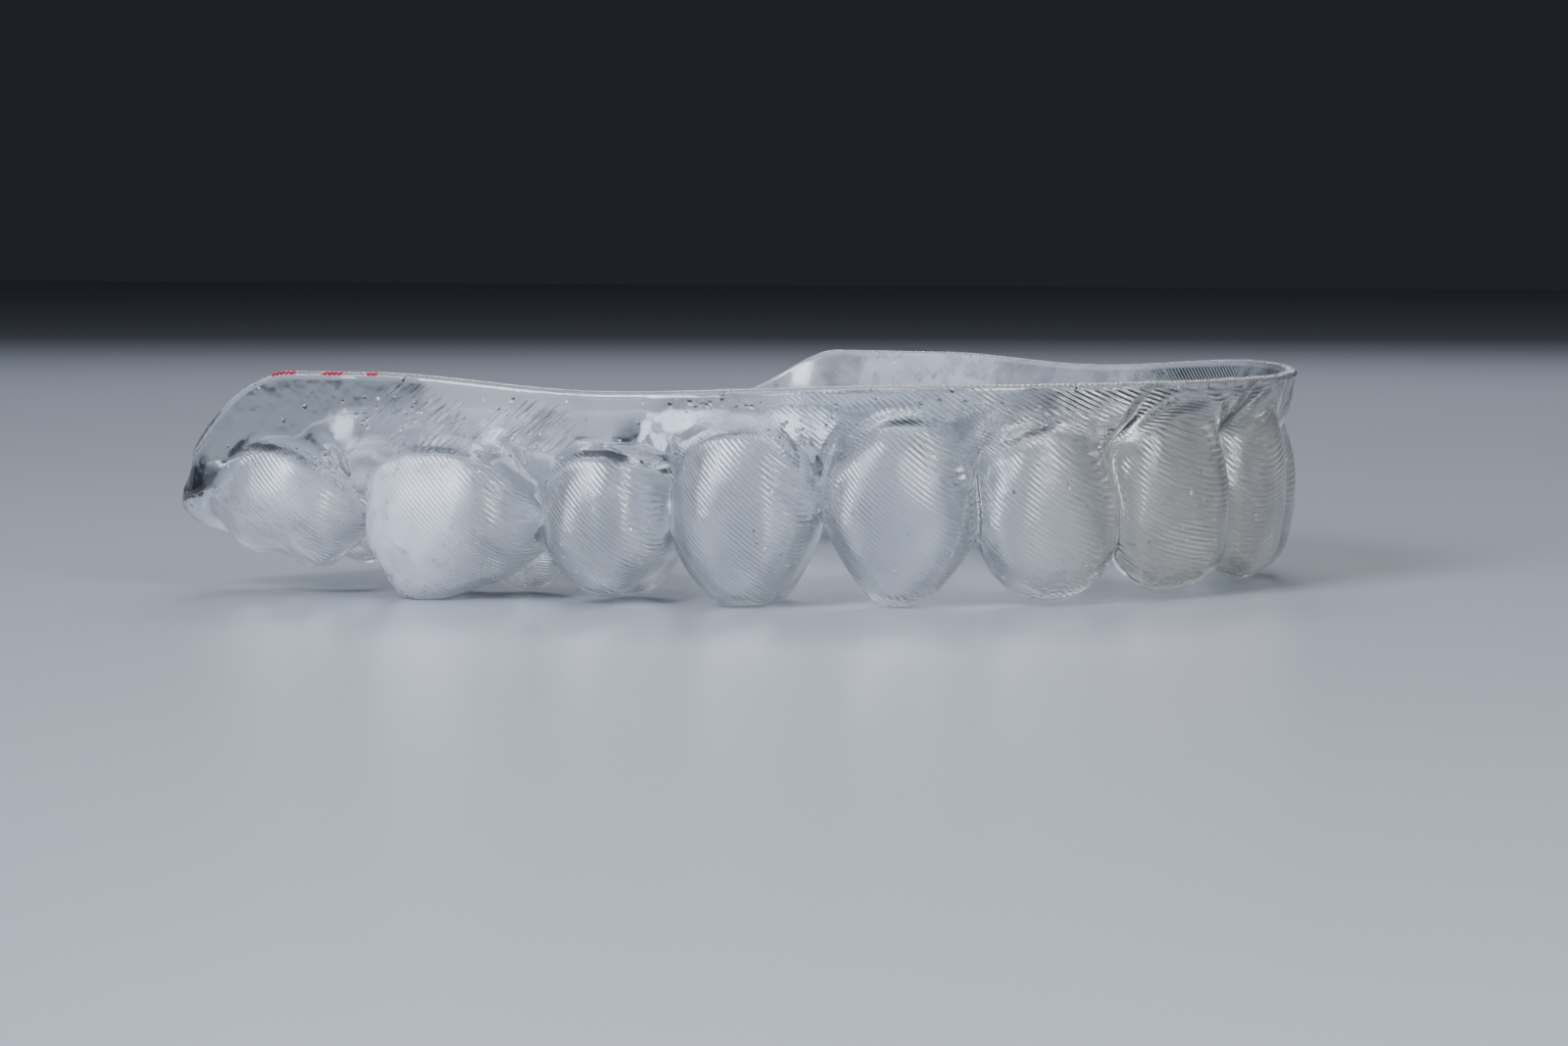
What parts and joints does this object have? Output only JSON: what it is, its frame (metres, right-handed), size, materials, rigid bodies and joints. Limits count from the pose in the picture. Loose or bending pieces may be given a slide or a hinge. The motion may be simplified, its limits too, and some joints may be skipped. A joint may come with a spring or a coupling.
{
  "type": "clear aligner",
  "caption": "Clear thermoformed dental aligner: a thin shell with a pocket for each tooth of one arch and a smooth trimmed gum edge.",
  "frame": {"origin": "centre of the footprint, on the surface that the tooth tips rest on", "axes": "+Z from the tooth tips up to the trimmed edge, +Y towards the front teeth, X = 0 at the midline"},
  "size_m": [0.0625, 0.0538, 0.0125],
  "materials": {
    "clear_plastic": "clear, thermoformed over a layered model, lightly frosted in places"
  },
  "bodies": {
    "root": {"aligner_shell": "clear_plastic"}
  },
  "joints": []
}
